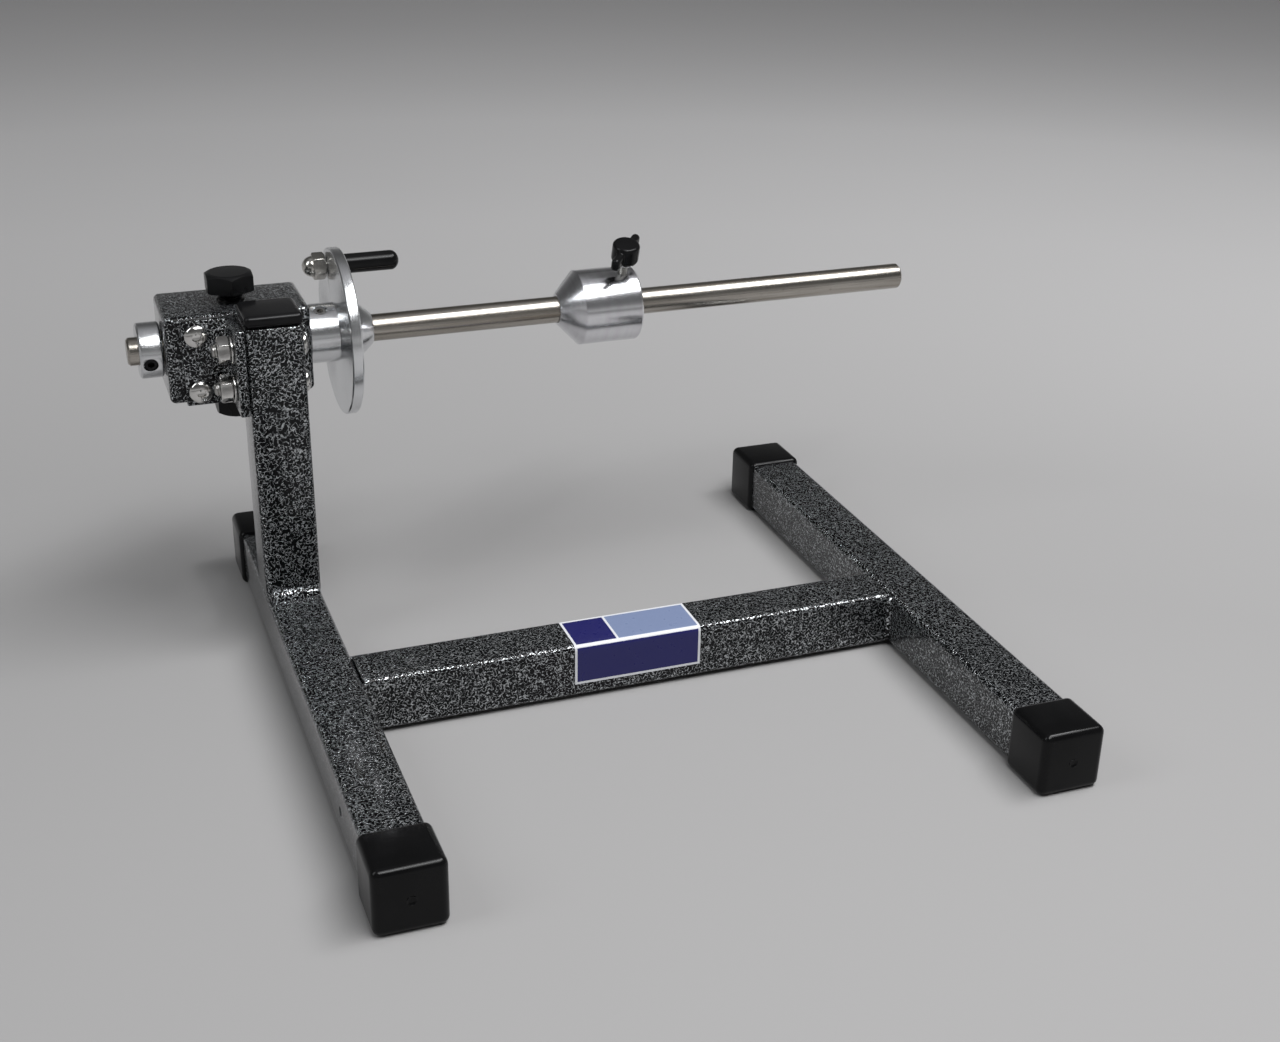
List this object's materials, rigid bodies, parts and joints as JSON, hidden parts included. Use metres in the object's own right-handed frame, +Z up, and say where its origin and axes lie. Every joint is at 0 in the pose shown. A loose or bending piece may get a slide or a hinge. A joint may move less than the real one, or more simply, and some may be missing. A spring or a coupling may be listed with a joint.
{
  "type": "line spool holder stand",
  "caption": "Bench stand with a welded H base and a post that carries a long spindle with a drag brake, a drive disk with a pin, and a sliding clamp cone that holds bulk spools.",
  "frame": {"origin": "centre of the bounding box's bottom face, on the surface the feet stand on", "axes": "+X along the spindle towards its free end, +Y to the back, where the post and spindle stand, +Z up"},
  "size_m": [0.3872, 0.3228, 0.1753],
  "materials": {
    "hammertone": "black and silver vein powder coat, semi-gloss",
    "vinyl": "soft black vinyl, satin",
    "gloss_plastic": "black moulded plastic, glossy",
    "nylon": "black moulded nylon, matte",
    "aluminium": "turned, bright",
    "steel": "ground bar, bright",
    "stainless": "bright stainless fasteners",
    "black_oxide": "black oxide",
    "bronze": "plain bearing bronze"
  },
  "bodies": {
    "frame": {"left_rail": "hammertone", "right_rail": "hammertone", "cross_member": "hammertone", "post": "hammertone", "brake_housing": "hammertone", "angle_bracket": "hammertone", "foot_cap_front_left": "vinyl", "foot_cap_rear_left": "vinyl", "foot_cap_front_right": "vinyl", "foot_cap_rear_right": "vinyl", "post_plug": "gloss_plastic", "housing_screw_upper": "stainless", "housing_screw_lower": "stainless", "post_bolt_lower": "stainless", "post_bolt_upper": "stainless", "post_nut_lower": "stainless", "post_nut_upper": "stainless", "post_washer_lower": "stainless", "post_washer_upper": "stainless", "bushing_left": "bronze", "bushing_right": "bronze"},
    "spindle": {"spindle": "steel", "left_collar": "aluminium", "left_set_screw": "black_oxide", "hub_set_screw": "stainless", "drive_disk": "aluminium", "drive_pin_stud": "stainless", "drive_pin_acorn_nut": "stainless", "drive_pin_sleeve": "gloss_plastic"},
    "clamp_cone": {"clamp_cone": "aluminium"},
    "clamp_pad": {"clamp_pad": "bronze"},
    "wing_screw": {"wing_knob": "nylon", "wing_screw_stud": "steel"},
    "upper_brake_shoe": {"upper_brake_shoe": "bronze"},
    "lower_brake_shoe": {"lower_brake_shoe": "bronze"},
    "upper_tension_bolt": {"upper_tension_bolt": "nylon"},
    "lower_tension_bolt": {"lower_tension_bolt": "nylon"}
  },
  "joints": [
    {"name": "spindle_spin", "type": "hinge", "parent": "frame", "child": "spindle", "pos_m": [0, 0.109, 0.1367], "axis": [1, 0, 0], "continuous": true},
    {"name": "cone_slide", "type": "slide", "parent": "spindle", "child": "clamp_cone", "axis": [1, 0, 0], "range_m": [-0.088, 0.14]},
    {"name": "clamp_pad_slide", "type": "slide", "parent": "clamp_cone", "child": "clamp_pad", "axis": [0, -0.309, 0.9511], "range_m": [0, 0.0016]},
    {"name": "wing_screw_turn", "type": "hinge", "parent": "clamp_pad", "child": "wing_screw", "pos_m": [0.0402, 0.109, 0.1367], "axis": [0, -0.309, 0.9511], "range_deg": [0, 540]},
    {"name": "upper_shoe_slide", "type": "slide", "parent": "frame", "child": "upper_brake_shoe", "axis": [0, 0, 1], "range_m": [0, 0.004]},
    {"name": "upper_bolt_turn", "type": "hinge", "parent": "upper_brake_shoe", "child": "upper_tension_bolt", "pos_m": [-0.1461, 0.109, 0.1367], "axis": [0, 0, 1], "range_deg": [0, 720]},
    {"name": "lower_shoe_slide", "type": "slide", "parent": "frame", "child": "lower_brake_shoe", "axis": [0, 0, -1], "range_m": [0, 0.004]},
    {"name": "lower_bolt_turn", "type": "hinge", "parent": "lower_brake_shoe", "child": "lower_tension_bolt", "pos_m": [-0.1461, 0.109, 0.1367], "axis": [0, 0, -1], "range_deg": [0, 720]}
  ],
  "couplings": [
    {"joint": "clamp_pad_slide", "follows": "wing_screw_turn", "m_per_rad": 0.00016844},
    {"joint": "upper_shoe_slide", "follows": "upper_bolt_turn", "m_per_rad": 0.00031096},
    {"joint": "lower_shoe_slide", "follows": "lower_bolt_turn", "m_per_rad": 0.00031096}
  ]
}
